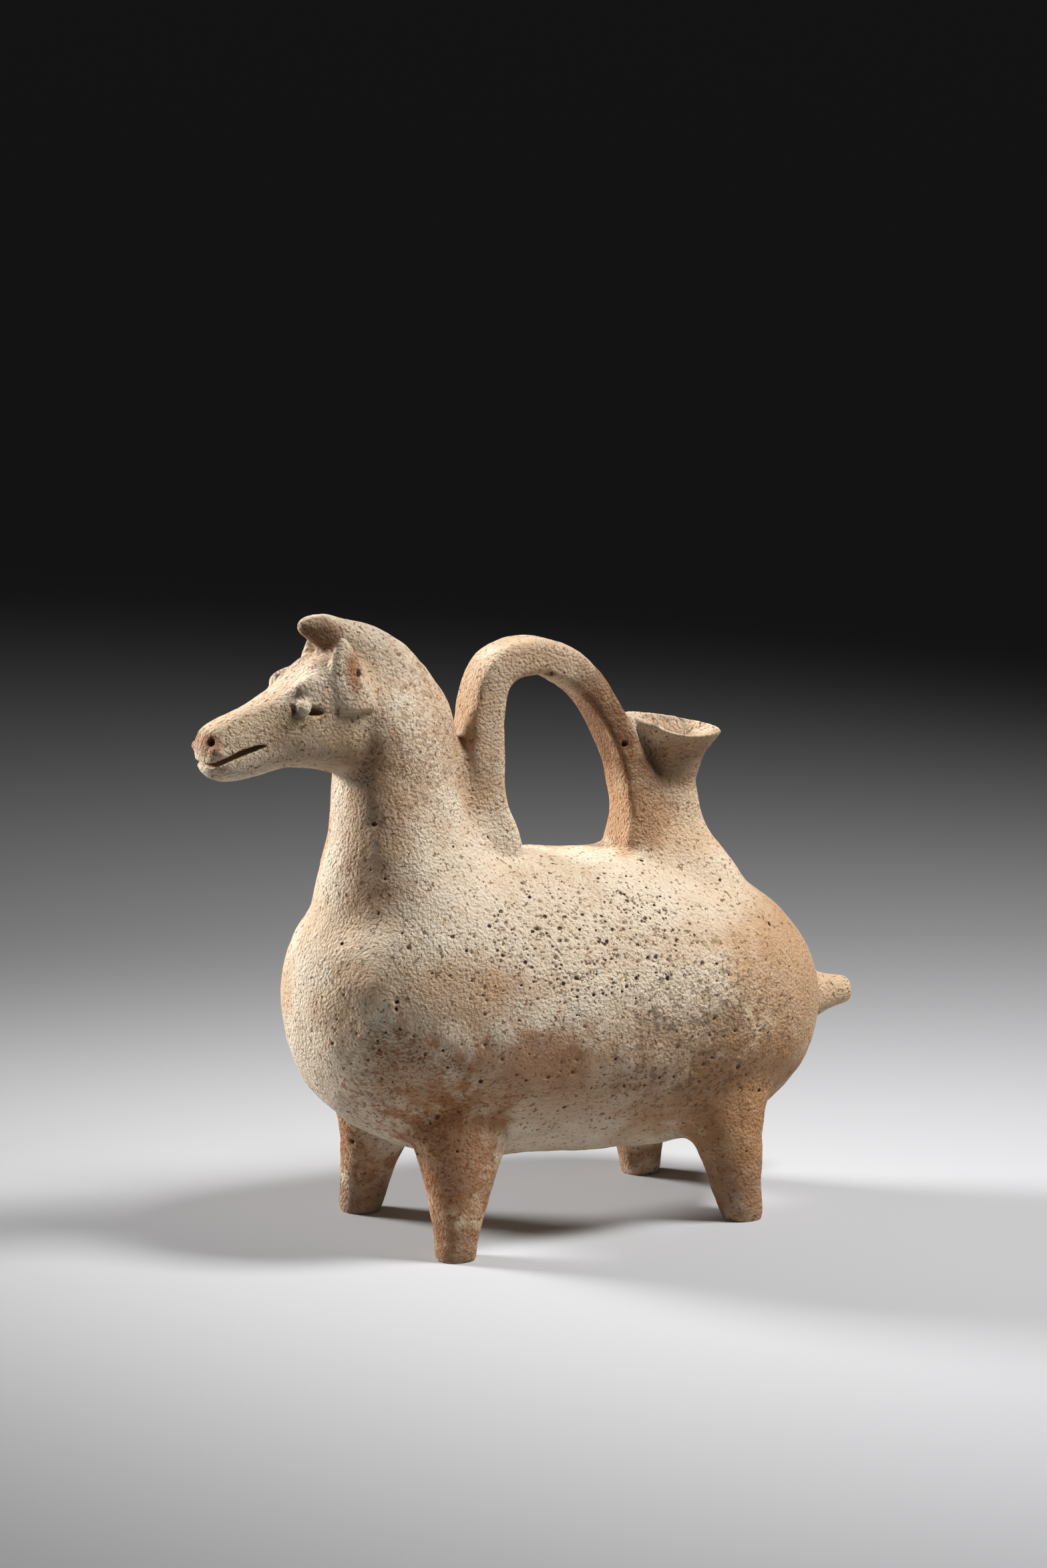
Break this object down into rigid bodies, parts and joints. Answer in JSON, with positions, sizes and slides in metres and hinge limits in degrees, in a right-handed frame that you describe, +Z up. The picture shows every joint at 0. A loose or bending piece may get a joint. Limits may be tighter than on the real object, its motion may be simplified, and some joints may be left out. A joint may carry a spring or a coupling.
{
  "type": "zoomorphic terracotta rhyton",
  "caption": "Hollow horse-shaped pouring vessel of coarse fired clay, with a flared filling mouth and a strap handle on its back, stub legs and a pouring slit at the muzzle.",
  "frame": {"origin": "on the ground, at the middle of the bounding box of the standing vessel", "axes": "+Z up, the animal's head towards -X and its tail towards +X, its left flank towards -Y"},
  "size_m": [0.3013, 0.1234, 0.2606],
  "materials": {
    "terracotta": "matt, coarse and gritty buff clay, pitted and stained"
  },
  "bodies": {
    "root": {"rhyton": "terracotta"}
  },
  "joints": []
}
